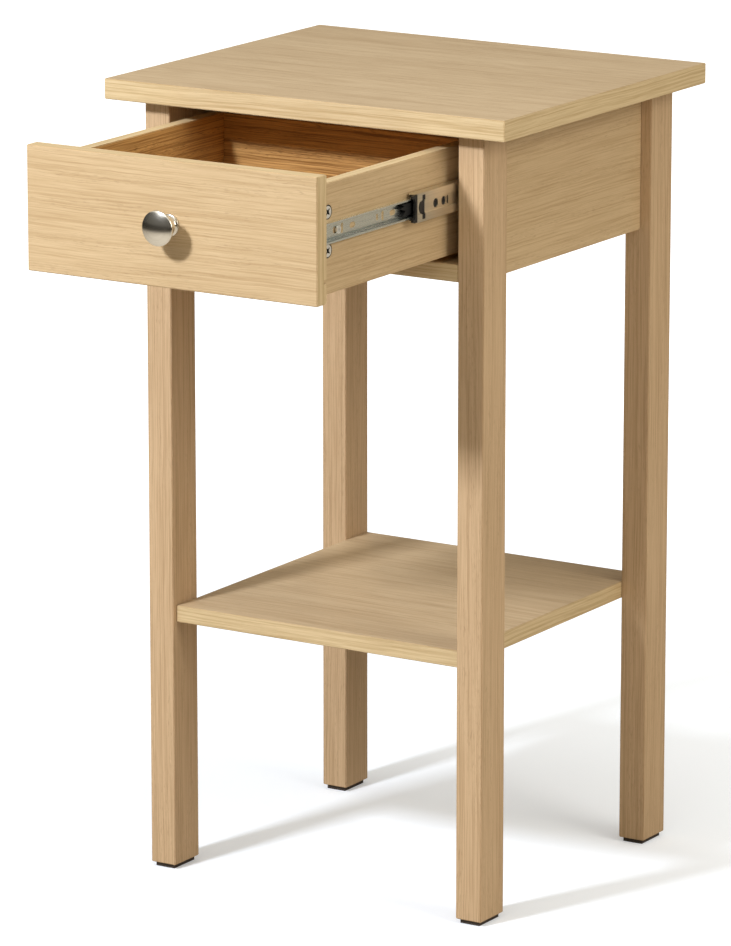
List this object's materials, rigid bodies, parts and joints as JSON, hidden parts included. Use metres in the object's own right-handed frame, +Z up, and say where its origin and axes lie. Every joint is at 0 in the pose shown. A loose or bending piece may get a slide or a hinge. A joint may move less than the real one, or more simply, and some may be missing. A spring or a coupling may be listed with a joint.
{
  "type": "nightstand",
  "caption": "Tall oak-finish nightstand with a drawer on full-extension ball-bearing slides, a round metal knob and an open shelf.",
  "frame": {"origin": "on the floor, at the centre of the rectangle that the four legs stand in", "axes": "+Z up; -Y is the front, the way the drawer opens; +X is the right-hand side for someone facing the back, so +X is on the viewer's right seen from the front"},
  "size_m": [0.4, 0.5655, 0.707],
  "materials": {
    "oak_foil": "printed oak foil on board, satin",
    "drawer_oak": "darker printed oak foil, satin",
    "foot_pad": "moulded glide, matt",
    "beech_dowel": "fluted beech, raw",
    "cam_zinc": "die-cast zinc, nickel plated",
    "zinc_plated_steel": "rolled steel, bright zinc plate",
    "black_plastic": "moulded, fine texture",
    "fastener_steel": "zinc plated",
    "ball_steel": "polished bearing steel",
    "satin_nickel": "satin brushed nickel"
  },
  "bodies": {
    "carcass": {"top_panel": "oak_foil", "leg_front_left": "oak_foil", "leg_front_right": "oak_foil", "leg_back_left": "oak_foil", "leg_back_right": "oak_foil", "foot_pad_front_left": "foot_pad", "foot_pad_front_right": "foot_pad", "foot_pad_back_left": "foot_pad", "foot_pad_back_right": "foot_pad", "side_apron_left": "oak_foil", "side_apron_right": "oak_foil", "bottom_panel": "oak_foil", "back_panel": "oak_foil", "shelf": "oak_foil", "apron_dowels": "beech_dowel", "panel_dowels": "beech_dowel", "carcass_cam_locks": "cam_zinc", "carcass_cam_bolts": "fastener_steel", "cabinet_member_left": "zinc_plated_steel", "cabinet_member_right": "zinc_plated_steel", "closing_stop_left": "black_plastic", "closing_stop_right": "black_plastic", "cabinet_member_screws": "fastener_steel"},
    "drawer": {"drawer_front": "oak_foil", "drawer_side_left": "oak_foil", "drawer_side_right": "oak_foil", "drawer_back": "drawer_oak", "drawer_bottom": "drawer_oak", "drawer_cam_locks": "cam_zinc", "drawer_cam_bolts": "fastener_steel", "drawer_dowels": "beech_dowel", "drawer_back_screws": "fastener_steel", "knob": "satin_nickel", "knob_screw": "fastener_steel", "drawer_member_left": "zinc_plated_steel", "drawer_member_right": "zinc_plated_steel", "drawer_member_screws": "fastener_steel"},
    "middle_left": {"middle_member_left": "zinc_plated_steel", "middle_bumper_left": "black_plastic"},
    "outer_cage_left": {"outer_ball_cage_left": "zinc_plated_steel", "outer_balls_left": "ball_steel"},
    "inner_cage_left": {"inner_ball_cage_left": "black_plastic", "inner_balls_left": "ball_steel"},
    "lever_left": {"release_lever_left": "black_plastic"},
    "middle_right": {"middle_member_right": "zinc_plated_steel", "middle_bumper_right": "black_plastic"},
    "outer_cage_right": {"outer_ball_cage_right": "zinc_plated_steel", "outer_balls_right": "ball_steel"},
    "inner_cage_right": {"inner_ball_cage_right": "black_plastic", "inner_balls_right": "ball_steel"},
    "lever_right": {"release_lever_right": "black_plastic"}
  },
  "joints": [
    {"name": "drawer_slide", "type": "slide", "parent": "carcass", "child": "drawer", "axis": [0, -1, 0], "range_m": [-0.216, 0.034]},
    {"name": "middle_slide_left", "type": "slide", "parent": "carcass", "child": "middle_left", "axis": [0, -1, 0], "range_m": [-0.0865, 0.0137]},
    {"name": "outer_cage_slide_left", "type": "slide", "parent": "carcass", "child": "outer_cage_left", "axis": [0, -1, 0], "range_m": [-0.0433, 0.0069]},
    {"name": "inner_cage_slide_left", "type": "slide", "parent": "carcass", "child": "inner_cage_left", "axis": [0, -1, 0], "range_m": [-0.1513, 0.0239]},
    {"name": "middle_slide_right", "type": "slide", "parent": "carcass", "child": "middle_right", "axis": [0, -1, 0], "range_m": [-0.0865, 0.0137]},
    {"name": "outer_cage_slide_right", "type": "slide", "parent": "carcass", "child": "outer_cage_right", "axis": [0, -1, 0], "range_m": [-0.0433, 0.0069]},
    {"name": "inner_cage_slide_right", "type": "slide", "parent": "carcass", "child": "inner_cage_right", "axis": [0, -1, 0], "range_m": [-0.1513, 0.0239]},
    {"name": "release_lever_turn_left", "type": "hinge", "parent": "drawer", "child": "lever_left", "pos_m": [-0.1329, -0.2105, 0.63475], "axis": [1, 0, 0], "range_deg": [-2.5, 2.5], "stiffness_Nm_per_rad": 0.05},
    {"name": "release_lever_turn_right", "type": "hinge", "parent": "drawer", "child": "lever_right", "pos_m": [0.1329, -0.2105, 0.63475], "axis": [1, 0, 0], "range_deg": [-2.5, 2.5], "stiffness_Nm_per_rad": 0.05}
  ],
  "couplings": [
    {"joint": "middle_slide_left", "follows": "drawer_slide", "ratio": 0.4},
    {"joint": "outer_cage_slide_left", "follows": "drawer_slide", "ratio": 0.2},
    {"joint": "inner_cage_slide_left", "follows": "drawer_slide", "ratio": 0.7},
    {"joint": "middle_slide_right", "follows": "drawer_slide", "ratio": 0.4},
    {"joint": "outer_cage_slide_right", "follows": "drawer_slide", "ratio": 0.2},
    {"joint": "inner_cage_slide_right", "follows": "drawer_slide", "ratio": 0.7}
  ]
}
